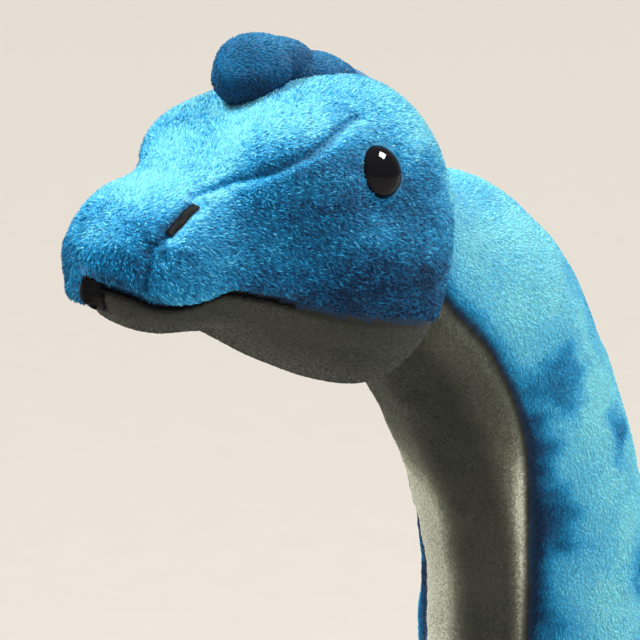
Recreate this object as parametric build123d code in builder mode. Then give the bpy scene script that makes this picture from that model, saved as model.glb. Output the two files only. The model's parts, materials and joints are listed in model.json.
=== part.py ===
from build123d import *
import math
import os

# A stuffed long-necked dinosaur, standing on four feet.
#
# Sewn pile-fabric panels hold a fibre filling, and a pouch of plastic pellets weights each foot.
# Millimetres. +Z is up, the nose points along -Y and the animal's left side is +X.
# The origin is on the ground, under the middle of the toy.
#
# Eight bodies meet at seven soft joints: head, neck, tail and four legs bend where they are sewn on.
# At each joint one body ends in a round that sits in a hollow of the other, with a running gap.

# ---------------------------------------------------------------- driving dimensions
SKIN = 2.4  # pile fabric with its knitted backing
GAP = 0.6  # running gap between two bodies
THREAD = 0.8  # how far embroidery stands above the fabric
FAR = 400.0  # reach of a cutting form, larger than the toy

HEAD_PLACE = (-198.0, 355.0)  # origin of the head's own frame: back, up
GUSSET_HALF = 12.0  # half width of the panel over the top of the head
NOD_PIVOT = (-174.0, 343.0)
NOD_ROUND = 19.0  # round end of the neck, inside the head
HEAD_ANGLES = (72.0, 216.0)  # directions from the pivot that belong to the head
NECK_TOP_ANGLES = (-128.0, 52.0)

EYE_PLACE = (27.9, -200.4, 365.6)  # middle of the left eye's flange
EYE_AIM = (0.905, -0.13, 0.405)  # the way the left eye looks
EYE_RADIUS = 6.0
EYE_DOME = 4.6
SHANK_RADIUS = 1.6
SHANK_LENGTH = 10.0
WASHER_RADIUS = 7.0
WASHER_THICK = 1.6
WASHER_DEPTH = 3.6  # from the flange to the washer

NOSTRIL = ((-53.6, 0.6), (-48.6, 9.6))  # lower front and upper back end, in the head's frame
NOSTRIL_WIDTH = 4.2
MOUTH_WIDTH = 1.5

NECK_PIVOT = (-80.0, 164.0)
NECK_ROUND = 34.0  # round lower end of the neck, inside the torso
NECK_BASE_ANGLES = (60.0, 200.0)
NECK_FREE_ANGLES = (45.0, 215.0)  # directions that the torso leaves open
STRIP_HALF = 19.5  # half width of the pale strip down the front of the neck

TAIL_PIVOT_Y = 100.0
TAIL_ROUND = 24.0
TAIL_HALF_ANGLE = 52.0  # how far to either side of straight back the tail's own fabric starts
TAIL_FREE_ANGLE = 80.0
BELLY_HALF = 14.0  # half width of the pale panel under belly and tail

HIP_HEIGHT = 98.0
HIP_ROUND = 24.0
LEG_X = 38.0
LEG_PLACES = {"front": -58.0, "hind": 58.0}
LEG_SWING = 16.0
LEG_ROOM = 23.8  # half of the slot that a leg swings in, at the hip
POCKET_X = 15.6  # inner wall of that slot
SOLE_THICK = 3.0
PELLETS_TOP = 28.0

LABEL = (0.8, 13.0, 19.0)  # blank cloth label: thickness, width, hang

# Stations from front to back: place along y, height of the middle, half width, half height.
HEAD_STATIONS = (
    (-64.5, -7.0, 5.0, 4.5),
    (-63.0, -7.0, 9.0, 7.5),
    (-59.5, -7.0, 13.0, 10.5),
    (-54.0, -6.0, 16.5, 14.0),
    (-46.0, -4.8, 18.2, 16.3),
    (-36.0, -4.5, 19.5, 18.6),
    (-24.0, -4.0, 24.5, 25.0),
    (-10.0, -2.5, 30.0, 31.5),
    (4.0, -2.5, 32.5, 33.5),
    (18.0, -3.5, 30.0, 30.5),
    (28.0, -4.5, 23.5, 23.5),
    (35.0, -3.5, 11.0, 11.0),
)
CREST_STATIONS = (
    (-27.0, 23.0, 3.0, 3.0),
    (-22.0, 26.0, 6.5, 6.0),
    (-12.0, 30.0, 8.5, 8.6),
    (0.0, 30.5, 8.5, 8.2),
    (10.0, 29.0, 6.5, 5.4),
    (15.0, 27.5, 3.0, 2.4),
)
TORSO_STATIONS = (
    (-118.0, 147.0, 17.0, 18.0),
    (-111.0, 146.0, 31.0, 32.0),
    (-92.0, 142.0, 45.0, 45.0),
    (-56.0, 135.0, 55.0, 55.0),
    (-12.0, 130.0, 60.0, 59.0),
    (34.0, 130.0, 58.0, 57.0),
    (74.0, 134.0, 48.0, 48.0),
    (104.0, 138.0, 36.0, 37.0),
)
# Middle lines seen from the side: back, up, radius.
NECK_LINE = (
    (-174.0, 343.0, 26.0),
    (-147.0, 326.0, 28.4),
    (-129.0, 304.0, 29.0),
    (-119.5, 286.0, 29.2),
    (-112.0, 258.0, 30.0),
    (-107.5, 226.0, 32.6),
    (-99.5, 194.0, 37.6),
    (-84.0, 166.0, 41.5),
)
TAIL_LINE = (
    (88.0, 140.5, 36.5),
    (100.0, 138.0, 36.5),
    (126.0, 131.0, 32.0),
    (155.0, 118.0, 26.0),
    (190.0, 98.0, 19.0),
    (222.0, 81.0, 13.0),
    (248.0, 73.0, 8.0),
    (262.0, 71.0, 3.5),
)
# Legs from the ground up: height, half width across, half width fore and aft.
LEG_STATIONS = (
    (SOLE_THICK, 21.0, 23.0),
    (14.0, 21.8, 24.0),
    (42.0, 19.5, 21.5),
    (78.0, 19.5, 22.0),
    (HIP_HEIGHT, 20.0, 22.6),
    (HIP_HEIGHT + HIP_ROUND, 18.0, 21.0),
)
MOUTH_LINE = ((-75.0, -7.5), (-64.0, -8.3), (-53.0, -13.6), (-36.0, -12.7), (-17.0, -17.7), (30.0, -27.0))

SIDES = {"left": 1, "right": -1}


# ---------------------------------------------------------------- forms that several pieces share
def lofted(sections):
    """A closed form through ellipses, each given as its plane and two half widths."""
    with BuildPart() as form:
        for plane, half_x, half_y in sections:
            with BuildSketch(plane):
                Ellipse(half_x, half_y)
        loft()
    return form.part


def fore_and_aft(stations, place=(0.0, 0.0), inset=0.0):
    """A form lofted from front to back about a place. inset makes it smaller all round."""
    sections = []
    for i, (y, z, half_width, half_height) in enumerate(stations):
        shift = inset if i == 0 else (-inset if i == len(stations) - 1 else 0.0)
        middle = (0, place[0] + y + shift, place[1] + z)
        plane = Plane(origin=middle, x_dir=(1, 0, 0), z_dir=(0, -1, 0))
        sections.append((plane, half_width - inset, half_height - inset))
    return lofted(sections)


def tube(line, inset=0.0):
    """A round form about a middle line seen from the side. inset makes it smaller all round."""
    sections = []
    for i, (y, z, radius) in enumerate(line):
        before = line[max(i - 1, 0)]
        after = line[min(i + 1, len(line) - 1)]
        direction = (0, after[0] - before[0], after[1] - before[1])
        plane = Plane(origin=(0, y, z), x_dir=(1, 0, 0), z_dir=direction)
        sections.append((plane, radius - inset, radius - inset))
    return lofted(sections)


def upright(stations, x, y, inset=0.0):
    """A form lofted upward from the ground at x, y. inset makes it smaller round the sides."""
    sections = []
    for z, half_width, half_length in stations:
        sections.append((Plane(origin=(x, y, z)), half_width - inset, half_length - inset))
    return lofted(sections)


def side_prism(points):
    """A form across the whole toy over an outline seen from the side."""
    with BuildPart() as form:
        with BuildSketch(Plane.YZ):
            with BuildLine():
                Polyline(*points, close=True)
            make_face()
        extrude(amount=FAR, both=True)
    return form.part


def cross_bar(place, radius):
    """A round bar across the whole toy."""
    with BuildPart() as form:
        with BuildSketch(Plane.YZ):
            with Locations(place):
                Circle(radius)
        extrude(amount=FAR, both=True)
    return form.part


def rim_points(place, angles):
    """Corners of a wedge between two directions from a place. 0 is along its first axis."""
    steps = 8
    points = [place]
    for i in range(steps + 1):
        turn = math.radians(angles[0] + (angles[1] - angles[0]) * i / steps)
        points.append((place[0] + FAR * math.cos(turn), place[1] + FAR * math.sin(turn)))
    return points


def middle_slab(half_width):
    """Everything within a distance of the middle plane."""
    with BuildPart() as form:
        Box(2 * half_width, 2 * FAR, 4 * FAR)
    return form.part


def half_of(shape, turn):
    """The part of a form on one side of the middle plane."""
    with BuildPart() as form:
        add(shape)
        split(bisect_by=Plane.YZ, keep=Keep.TOP if turn > 0 else Keep.BOTTOM)
    return form.part


def in_head(points):
    """Points of the head's frame, in the toy's frame."""
    return [(HEAD_PLACE[0] + y, HEAD_PLACE[1] + z) for y, z in points]


def write(shape, name):
    """Labels a finished piece and writes it as one node."""
    shape.label = name
    export_step(shape, f"parts/{name}.step")


os.makedirs("parts", exist_ok=True)

# ---------------------------------------------------------------- outer and inner forms
head_outer = fore_and_aft(HEAD_STATIONS, HEAD_PLACE)
head_inner = fore_and_aft(HEAD_STATIONS, HEAD_PLACE, SKIN)
head_proud = fore_and_aft(HEAD_STATIONS, HEAD_PLACE, -THREAD)
torso_outer = fore_and_aft(TORSO_STATIONS)
torso_inner = fore_and_aft(TORSO_STATIONS, inset=SKIN)
neck_outer = tube(NECK_LINE)
neck_inner = tube(NECK_LINE, SKIN)

nod_room = cross_bar(NOD_PIVOT, NOD_ROUND + GAP)
nod_end = cross_bar(NOD_PIVOT, NOD_ROUND)
head_wedge = side_prism(rim_points(NOD_PIVOT, HEAD_ANGLES))
neck_top_wedge = side_prism(rim_points(NOD_PIVOT, NECK_TOP_ANGLES))
neck_room = cross_bar(NECK_PIVOT, NECK_ROUND + GAP)
neck_end = cross_bar(NECK_PIVOT, NECK_ROUND)
neck_base_wedge = side_prism(rim_points(NECK_PIVOT, NECK_BASE_ANGLES))
neck_free_wedge = side_prism(rim_points(NECK_PIVOT, NECK_FREE_ANGLES))


# ---------------------------------------------------------------- head
def eye_plane(turn):
    """The plane of an eye's flange, facing the way the eye looks."""
    origin = (turn * EYE_PLACE[0], EYE_PLACE[1], EYE_PLACE[2])
    return Plane(origin=origin, x_dir=(0, 1, 0), z_dir=(turn * EYE_AIM[0], EYE_AIM[1], EYE_AIM[2]))


def eye_room(turn):
    """Space for an eye in the fabric and the filling, with its shank and washer."""
    with BuildPart() as room:
        with BuildSketch(eye_plane(turn)):
            Circle(EYE_RADIUS + 0.2)
        extrude(amount=EYE_DOME + 4.0)
        with BuildSketch(eye_plane(turn)):
            Circle(SHANK_RADIUS + 0.1)
        extrude(amount=-SHANK_LENGTH - 0.3)
        with BuildSketch(eye_plane(turn).offset(0.1 - WASHER_DEPTH)):
            Circle(WASHER_RADIUS + 0.2)
        extrude(amount=-WASHER_THICK - 0.2)
    return room.part


with BuildPart() as head_shell:
    add(head_outer)
    add(head_inner, mode=Mode.SUBTRACT)
    add(head_wedge, mode=Mode.INTERSECT)
    add(nod_room, mode=Mode.SUBTRACT)
    for turn in SIDES.values():
        add(eye_room(turn), mode=Mode.SUBTRACT)

with BuildPart() as below_mouth:
    with BuildSketch(Plane.YZ):
        with BuildLine():
            lip = Spline(*in_head(MOUTH_LINE))
            Polyline(lip @ 1, *in_head([(30, -90), (-75, -90)]), lip @ 0)
        make_face()
    extrude(amount=FAR, both=True)

with BuildPart() as lower_jaw_panel:
    add(head_shell.part)
    add(below_mouth.part, mode=Mode.INTERSECT)
write(lower_jaw_panel.part, "lower_jaw_panel")

with BuildPart() as upper_head:
    add(head_shell.part)
    add(below_mouth.part, mode=Mode.SUBTRACT)

with BuildPart() as head_top_gusset:
    add(upper_head.part)
    add(middle_slab(GUSSET_HALF), mode=Mode.INTERSECT)
write(head_top_gusset.part, "head_top_gusset")

with BuildPart() as head_sides:
    add(upper_head.part)
    add(middle_slab(GUSSET_HALF), mode=Mode.SUBTRACT)
for side, turn in SIDES.items():
    write(half_of(head_sides.part, turn), f"head_side_panel_{side}")

with BuildPart() as head_filling:
    add(head_inner)
    add(head_wedge, mode=Mode.INTERSECT)
    add(nod_room, mode=Mode.SUBTRACT)
    for turn in SIDES.values():
        add(eye_room(turn), mode=Mode.SUBTRACT)
write(head_filling.part, "head_filling")

with BuildPart() as crest_filling:
    add(fore_and_aft(CREST_STATIONS, HEAD_PLACE, 1.6))
    add(head_outer, mode=Mode.SUBTRACT)
write(crest_filling.part, "crest_filling")

with BuildPart() as crest_panel:
    add(fore_and_aft(CREST_STATIONS, HEAD_PLACE))
    add(fore_and_aft(CREST_STATIONS, HEAD_PLACE, 1.6), mode=Mode.SUBTRACT)
    add(head_outer, mode=Mode.SUBTRACT)
write(crest_panel.part, "crest_panel")

dome_radius = (EYE_RADIUS**2 + EYE_DOME**2) / (2 * EYE_DOME)
for side, turn in SIDES.items():
    with BuildPart() as eye:
        with Locations(eye_plane(turn).offset(EYE_DOME - dome_radius)):
            Sphere(dome_radius)
        split(bisect_by=eye_plane(turn), keep=Keep.TOP)
        with BuildSketch(eye_plane(turn)):
            Circle(SHANK_RADIUS)
        extrude(amount=-SHANK_LENGTH)
    write(eye.part, f"eye_{side}")

    with BuildPart() as eye_washer:
        with BuildSketch(eye_plane(turn).offset(-WASHER_DEPTH)):
            Circle(WASHER_RADIUS)
            Circle(SHANK_RADIUS, mode=Mode.SUBTRACT)
        extrude(amount=-WASHER_THICK)
    write(eye_washer.part, f"eye_washer_{side}")

with BuildPart() as embroidery:
    add(head_proud)
    add(head_outer, mode=Mode.SUBTRACT)

with BuildPart() as nostril_block:
    with BuildSketch(Plane.YZ):
        with BuildLine():
            Line(*in_head(NOSTRIL))
        trace(line_width=NOSTRIL_WIDTH)
    extrude(amount=FAR, both=True)

for side, turn in SIDES.items():
    with BuildPart() as nostril:
        add(embroidery.part)
        add(nostril_block.part, mode=Mode.INTERSECT)
        add(middle_slab(6.0), mode=Mode.SUBTRACT)
    write(half_of(nostril.part, turn), f"nostril_stitches_{side}")

with BuildPart() as mouth_block:
    with BuildSketch(Plane.YZ):
        with BuildLine():
            Spline(*in_head(MOUTH_LINE))
        trace(line_width=MOUTH_WIDTH)
    extrude(amount=FAR, both=True)

with BuildPart() as mouth_stitches:
    add(embroidery.part)
    add(mouth_block.part, mode=Mode.INTERSECT)
    add(side_prism(in_head([(-90, 40), (-14, 40), (-14, -60), (-90, -60)])), mode=Mode.INTERSECT)
write(mouth_stitches.part, "mouth_stitches")

# ---------------------------------------------------------------- neck
def neck_form(tube_form, head_form, torso_form):
    """The neck with its two round ends, which carry on the surfaces of head and torso."""
    with BuildPart() as top_limits:
        add(neck_top_wedge)
        add(nod_end)
    with BuildPart() as base_limits:
        add(neck_base_wedge)
        add(neck_end)
    with BuildPart() as top_end:
        add(head_form)
        add(nod_end, mode=Mode.INTERSECT)
    with BuildPart() as base_end:
        add(torso_form)
        add(neck_end, mode=Mode.INTERSECT)
    with BuildPart() as form:
        add(tube_form)
        add(top_limits.part, mode=Mode.INTERSECT)
        add(base_limits.part, mode=Mode.INTERSECT)
        add(top_end.part)
        add(base_end.part)
    return form.part


neck_whole = neck_form(neck_outer, head_outer, torso_outer)
neck_core = neck_form(neck_inner, head_inner, torso_inner)

with BuildPart() as neck_shell:
    add(neck_whole)
    add(neck_core, mode=Mode.SUBTRACT)

neck_middle = [(y, z) for y, z, radius in NECK_LINE]
neck_front_outline = [*neck_middle, (NECK_PIVOT[0], NECK_PIVOT[1] - 60), (-300, 100), (-300, 343)]
with BuildPart() as strip_block:
    add(side_prism(neck_front_outline))
    add(middle_slab(STRIP_HALF), mode=Mode.INTERSECT)

with BuildPart() as neck_front_strip:
    add(neck_shell.part)
    add(strip_block.part, mode=Mode.INTERSECT)
write(neck_front_strip.part, "neck_front_strip")

with BuildPart() as neck_sides:
    add(neck_shell.part)
    add(strip_block.part, mode=Mode.SUBTRACT)
for side, turn in SIDES.items():
    write(half_of(neck_sides.part, turn), f"neck_side_panel_{side}")

write(neck_core, "neck_filling")

# ---------------------------------------------------------------- torso and tail
def plan_wedge(half_angle):
    """A wedge seen from above that opens backward from the tail's pivot."""
    with BuildPart() as form:
        with BuildSketch(Plane.XY):
            with BuildLine():
                Polyline(*rim_points((0.0, TAIL_PIVOT_Y), (90 - half_angle, 90 + half_angle)), close=True)
            make_face()
        extrude(amount=FAR)
    return form.part


def tail_bar(radius):
    """An upright round bar about the tail's pivot."""
    with BuildPart() as form:
        with Locations((0, TAIL_PIVOT_Y, FAR / 2)):
            Cylinder(radius, FAR)
    return form.part


def hip_slot(side_turn, y):
    """Space in the torso for the top of a leg and its swing."""
    reach = 70.0
    spread = LEG_ROOM + reach * math.tan(math.radians(LEG_SWING))
    with BuildPart() as slot:
        with BuildSketch(Plane.YZ.offset(side_turn * POCKET_X)):
            with Locations((y, HIP_HEIGHT)):
                Circle(HIP_ROUND + GAP)
            with BuildLine():
                Polyline(
                    (y - LEG_ROOM, HIP_HEIGHT),
                    (y + LEG_ROOM, HIP_HEIGHT),
                    (y + spread, HIP_HEIGHT - reach),
                    (y - spread, HIP_HEIGHT - reach),
                    close=True,
                )
            make_face()
        extrude(amount=side_turn * FAR)
    return slot.part


with BuildPart() as torso_limits:
    add(neck_free_wedge)
    add(neck_room)
    add(plan_wedge(TAIL_FREE_ANGLE))
    add(tail_bar(TAIL_ROUND + GAP))
    for turn in SIDES.values():
        for y in LEG_PLACES.values():
            add(hip_slot(turn, y))

with BuildPart() as torso_shell:
    add(torso_outer)
    add(torso_inner, mode=Mode.SUBTRACT)
    add(torso_limits.part, mode=Mode.SUBTRACT)

with BuildPart() as torso_filling:
    add(torso_inner)
    add(torso_limits.part, mode=Mode.SUBTRACT)
write(torso_filling.part, "torso_filling")

with BuildPart() as belly_block:
    with Locations((0, 0, 60)):
        Box(2 * BELLY_HALF, 2 * FAR, 120)

with BuildPart() as belly_panel:
    add(torso_shell.part)
    add(belly_block.part, mode=Mode.INTERSECT)
write(belly_panel.part, "belly_panel")

with BuildPart() as torso_sides:
    add(torso_shell.part)
    add(belly_block.part, mode=Mode.SUBTRACT)
for side, turn in SIDES.items():
    write(half_of(torso_sides.part, turn), f"torso_side_panel_{side}")

with BuildPart() as label:
    with Locations((-BELLY_HALF, 2, 76 - LABEL[2] / 2)):
        Box(*LABEL)
    add(torso_outer, mode=Mode.SUBTRACT)
write(label.part, "blank_label")

with BuildPart() as closing_stitches:
    add(fore_and_aft(TORSO_STATIONS, inset=-THREAD))
    add(torso_outer, mode=Mode.SUBTRACT)
    with BuildPart(mode=Mode.PRIVATE) as thread_rows:
        with Locations((BELLY_HALF, 2, 60)):
            with GridLocations(1, 4.5, 1, 7):
                Box(5.0, 1.0, 60)
    add(thread_rows.part, mode=Mode.INTERSECT)
write(closing_stitches.part, "closing_stitches")


def tail_form(tube_form, torso_form):
    """The tail with its round end, which carries on the surface of the torso."""
    with BuildPart() as limits:
        add(plan_wedge(TAIL_HALF_ANGLE))
        add(tail_bar(TAIL_ROUND))
    with BuildPart() as form:
        add(torso_form)
        add(tube_form)
        add(limits.part, mode=Mode.INTERSECT)
    return form.part


tail_core = tail_form(tube(TAIL_LINE, SKIN), torso_inner)
with BuildPart() as tail_shell:
    add(tail_form(tube(TAIL_LINE), torso_outer))
    add(tail_core, mode=Mode.SUBTRACT)

tail_middle = [(y, z) for y, z, radius in TAIL_LINE]
tail_under_outline = [(TAIL_PIVOT_Y - 40, 138), *tail_middle, (300, 71), (300, 20), (TAIL_PIVOT_Y - 40, 20)]
with BuildPart() as tail_under_block:
    add(middle_slab(BELLY_HALF))
    add(tail_bar(TAIL_ROUND + 1))
    add(side_prism(tail_under_outline), mode=Mode.INTERSECT)

with BuildPart() as tail_underside:
    add(tail_shell.part)
    add(tail_under_block.part, mode=Mode.INTERSECT)
write(tail_underside.part, "tail_underside_panel")

with BuildPart() as tail_sides:
    add(tail_shell.part)
    add(tail_under_block.part, mode=Mode.SUBTRACT)
for side, turn in SIDES.items():
    write(half_of(tail_sides.part, turn), f"tail_side_panel_{side}")

write(tail_core, "tail_filling")

# ---------------------------------------------------------------- legs
for side, turn in SIDES.items():
    for place, y in LEG_PLACES.items():
        x = turn * LEG_X
        limb = f"{place}_{side}"
        with BuildPart() as leg_limits:
            with BuildSketch(Plane.YZ):
                with Locations((y, HIP_HEIGHT)):
                    Circle(HIP_ROUND)
                with Locations((y, HIP_HEIGHT / 2)):
                    Rectangle(60, HIP_HEIGHT)
            extrude(amount=FAR, both=True)

        with BuildPart() as leg_outer:
            add(upright(LEG_STATIONS, x, y))
            add(leg_limits.part, mode=Mode.INTERSECT)

        with BuildPart() as leg_core:
            add(upright(LEG_STATIONS, x, y, SKIN))
            add(leg_limits.part, mode=Mode.INTERSECT)

        with BuildPart() as leg_shell:
            add(leg_outer.part)
            add(leg_core.part, mode=Mode.SUBTRACT)

        for face, keep in (("outer", Keep.TOP), ("inner", Keep.BOTTOM)):
            with BuildPart() as leg_panel:
                add(leg_shell.part)
                split(bisect_by=Plane(origin=(x, 0, 0), z_dir=(turn, 0, 0)), keep=keep)
            write(leg_panel.part, f"leg_{limb}_{face}_panel")

        with BuildPart() as pellet_pouch:
            add(leg_core.part)
            split(bisect_by=Plane.XY.offset(PELLETS_TOP), keep=Keep.BOTTOM)
        write(pellet_pouch.part, f"leg_{limb}_pellet_pouch")

        with BuildPart() as leg_filling:
            add(leg_core.part)
            split(bisect_by=Plane.XY.offset(PELLETS_TOP), keep=Keep.TOP)
        write(leg_filling.part, f"leg_{limb}_filling")

        with BuildPart() as foot_sole:
            with BuildSketch(Plane.XY):
                with Locations((x, y)):
                    Ellipse(LEG_STATIONS[0][1], LEG_STATIONS[0][2])
            extrude(amount=SOLE_THICK)
            fillet(foot_sole.faces().sort_by(Axis.Z)[0].edges(), 1.2)
        write(foot_sole.part, f"leg_{limb}_sole")
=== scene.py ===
"""The looks of a stuffed long-necked dinosaur: sewn skins, short pile, glossy eyes and embroidery.

Lengths are millimetres until a mesh is made, and the toy stands on z = 0 with its nose toward -y. Each
form is a grid of points round a stuffed body, first shaped and then given seams. Its pile is real mesh:
small bent tufts that lie along the nap and part at seams.
"""

import json
import math

import bpy
import numpy as np
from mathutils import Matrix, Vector
from mathutils.bvhtree import BVHTree


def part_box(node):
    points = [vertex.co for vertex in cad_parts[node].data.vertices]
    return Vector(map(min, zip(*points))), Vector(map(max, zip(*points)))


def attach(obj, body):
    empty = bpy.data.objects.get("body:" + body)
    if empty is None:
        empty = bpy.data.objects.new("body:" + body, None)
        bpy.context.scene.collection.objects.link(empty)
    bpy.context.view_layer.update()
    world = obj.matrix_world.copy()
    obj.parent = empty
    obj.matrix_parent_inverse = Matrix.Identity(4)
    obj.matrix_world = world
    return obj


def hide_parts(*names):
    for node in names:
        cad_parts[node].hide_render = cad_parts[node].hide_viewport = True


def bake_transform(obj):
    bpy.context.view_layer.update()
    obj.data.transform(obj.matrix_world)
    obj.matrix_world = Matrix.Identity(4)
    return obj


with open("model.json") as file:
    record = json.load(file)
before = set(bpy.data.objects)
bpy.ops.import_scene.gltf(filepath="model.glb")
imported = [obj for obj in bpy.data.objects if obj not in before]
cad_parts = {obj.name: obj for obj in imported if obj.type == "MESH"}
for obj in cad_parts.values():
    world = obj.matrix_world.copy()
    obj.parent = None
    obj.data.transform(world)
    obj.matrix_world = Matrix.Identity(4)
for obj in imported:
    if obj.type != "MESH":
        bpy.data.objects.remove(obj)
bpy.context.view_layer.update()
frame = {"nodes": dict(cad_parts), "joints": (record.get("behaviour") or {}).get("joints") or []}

MM = 0.001  # metres in a millimetre
rng = np.random.default_rng(7)


def metres(place):
    """A place in millimetres as a vector in metres."""
    return Vector(place * MM)


# ---- places, from the frame
def joint_place(name):
    """Where a joint's axis passes, in millimetres."""
    found = next(j for j in frame["joints"] if j["name"] == name)
    return np.array(found["pos_m"]) / MM


NOD = joint_place("head_nod")
SKULL = NOD + (0, -24, 12)  # origin of the head's own tables
LEGS = [j["child"] for j in frame["joints"] if j["child"].startswith("leg_")]

# ---- sizes
# Head, from nose to nape: place along y and the value there, in the head's own frame.
NOSE_Y, NOSE_ROUND = -64.0, 18.5
NAPE_Y, NAPE_ROUND = 34.0, 24.0
HEAD_WIDTH = (
    (-64.5, 17.4), (-54, 18.0), (-46, 18.4), (-36, 19.6), (-24, 24.2),
    (-10, 30), (4, 32.4), (12, 32.2), (36, 31.5),
)
HEAD_TOP = (
    (-64.5, 3.6), (-61, 5.4), (-56, 7.4), (-49, 9.0), (-42, 10.8), (-36, 13.6),
    (-24, 21.6), (-12, 28.2), (0, 31), (12, 30.4), (24, 28.0), (36, 25),
)
HEAD_BOTTOM = (
    (-64.5, -22.3), (-56, -23.6), (-46, -25.2), (-38, -25.6), (-31, -26.4),
    (-22, -30), (-8, -36.2), (5, -41.4), (16, -43.8), (28, -43), (36, -40),
)
HEAD_MIDDLE = ((-64.5, -7), (-54, -6.4), (-46, -5.6), (-36, -4), (-24, -2), (-8, 0), (8, 0), (36, -3))
SQUARENESS = 0.9  # power that makes the head's sections a little squarer than an ellipse
MOUTH = (
    (-66, -9.6), (-62.5, -11.2), (-58, -13.4), (-53, -16.0), (-46, -16.2), (-37.5, -14.2),
    (-31, -15.4), (-25, -17.0), (-14.5, -20.6), (-4, -23.0), (11, -25.4), (36, -31),
)
# Half width of the black band along the mouth seam: painted shadow in the gap between the lips, under the
# black stitches.
MOUTH_HALF = (
    (-66, 0.7), (-60, 0.7), (-50, 0.7), (-40, 0.65), (-30, 0.5), (-24, 0.35), (-18, 0.15), (-14, 0.0),
)
MOUTH_END_Y = -20.0
MOUTH_ASKEW = 6.0  # how much lower the seam is on the right side of the very front
MOUTH_FRONT = np.array([[0.7, -63.2, -9.8], [0.3, -63.2, -16.9]])  # middle of the heavy black patch at the front: stitches, with painted shadow of the gap between snout and jaw
EYE = np.array([28.6, -2.4, 10.8])
NOSTRIL = np.array([[15.6, -52.8, 0.9], [14.6, -43.2, 6.9]])
GUSSET_SEAM = np.array([
    [13.6, -44.5, 10.2], [17, -32.5, 10], [20, -29, 11.2], [24, -23.5, 14.1],
    [25.5, -18, 16.8], [25, -11, 20], [23, -2.6, 22.9],
])
# Swells and hollows of the head: height, centre and sizes.
HEAD_SWELLS = (
    (5.8, (21, -23.5, 17.5), (8.5, 11, 8.5)), (1.5, (28, 4, -16), (9, 15, 9)), (1.3, (12, -50, 9), (6, 8, 5)),
    (1.0, (17, -42, -8), (7, 10, 5)), (-2.0, EYE, (6.5, 6.5, 6.8)), (-1.4, (27, -1, 1.0), (5, 5, 2.6)),
    (-1.1, (0, -33, 15), (9, 8, 8)),
)
# Lighter and darker areas of the head's blue: amount, centre and sizes. The top of the snout is airbrushed
# lighter, with painted light; the lighter back of the skull is painted light and the darker spot below the
# eye is painted shade. The others only make the blue lighter or darker.
HEAD_TINTS_AND_PAINTED_LIGHT = (
    # (0, -46, 12): the top of the snout, airbrushed lighter, with painted light.
    (0.16, (0, -46, 12), (18, 20, 7)), (-0.22, (26, 4, -18), (18, 26, 10)), (-0.10, (19, -26, 2), (8, 10, 7)),
    # (29, 1, 1): painted shade below the eye.
    (0.20, (17, -47, -9), (5, 7, 5)), (-0.14, (14, -60, -5), (10, 7, 8)), (-0.16, (29, 1, 1), (8, 8, 5)),
    # (28, 26, 4): painted light on the back of the skull.
    (-0.18, (28, -10, -18), (14, 14, 5)), (0.34, (28, 26, 4), (14, 10, 16)),
)
DARTS = (
    np.array([[15.0, -57.4, -1.5], [15.0, -58.6, -6], [14.4, -59.4, -11.0]]),
    np.array([[15.6, -54.6, -0.5], [16.2, -55.6, -5.5]]),
)

# Spine from inside the head to the tip of the tail: back, up, half width, half depth, strip half width.
SPINE = (
    (-178, 345, 20, 20, 20), (-165, 339, 25, 25, 23), (-145, 327, 28.6, 28.6, 24.4),
    (-128, 304, 29, 29, 23.4), (-118.5, 286, 29.2, 29.2, 20.6), (-111, 258, 29.8, 30, 18.2),
    (-106.5, 226, 32.4, 32.8, 17.5), (-98, 194, 37.6, 38.2, 17), (-83, 166, 46, 46.6, 16),
    (-52, 143, 54, 54, 15), (-12, 131, 59, 58, 15), (34, 130, 57.5, 57, 15),
    (74, 134, 48, 48, 14.5), (104, 138, 36.5, 37.5, 14), (130, 130, 31, 32, 12.5),
    (158, 117, 25.6, 26, 11), (190, 98, 19, 19.4, 8.5), (222, 81, 13, 13.4, 6),
    (248, 73, 8, 8.2, 3.5), (260, 71, 4, 4, 1.5),
)
STRIP_SHARE = 0.25  # share of the grid's lines round the spine that the pale panel takes

# Leg from the ground up: height, half width and half length.
LEG_TABLE = (
    (0.4, 18.6, 20.6), (1.4, 20.4, 22.4), (4, 21.6, 23.6), (12, 22.0, 24.2),
    (26, 20.6, 22.6), (44, 19.4, 21.4), (66, 19.2, 21.6), (84, 19.8, 22.6),
    (98, 20.2, 23.0), (110, 17.6, 20.0), (118, 12, 13.6), (122, 4, 4.4),
)
FOOT_SEAM_Z = 5.0

# Crest lobes: middle, half sizes and turn about x, in the head's own frame.
CREST_LOBES = (
    ((0.0, -14.0, 32.4), (8.0, 11.2, 7.7), 12.0),
    ((-0.6, -6.0, 32.8), (7.4, 11.5, 6.6), -9.0),
    ((0.8, 3.2, 29.8), (7.2, 14.0, 6.0), -10.0),
    ((0.3, 14.5, 27.4), (5.0, 10.5, 4.0), -9.0),
)

# Pile: spacing, length, width and unevenness of tone of tufts.
PILE = {
    "head": (0.52, 1.10, 0.23, 0.13),
    "jaw": (0.55, 0.60, 0.24, 0.03),
    "crest": (0.52, 0.90, 0.24, 0.07),
    "neck": (0.60, 0.90, 0.30, 0.025),
    "strip": (0.62, 0.60, 0.30, 0.025),
    "body": (1.02, 1.35, 0.50, 0.04),
    "belly": (1.02, 1.00, 0.50, 0.03),
}
MOST_TUFTS = 21000  # in one piece; larger areas of pile are made in several pieces

# Airbrushed blotches on the sides of the neck: place and size.
BLOTCHES = (
    ((27.8, -136, 309), (8, 7.5, 7)), ((22.6, -139, 291), (7, 5, 8)), ((24, -134, 272), (7, 5, 10)),
    ((20, -108, 330), (8, 6, 6)), ((28, -110, 292), (5, 4, 5)), ((24, -134, 250), (8, 5, 7)),
    ((24, -96, 252), (9, 8, 7)),
)
FAR = 99.0  # a distance or size too large to matter


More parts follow.
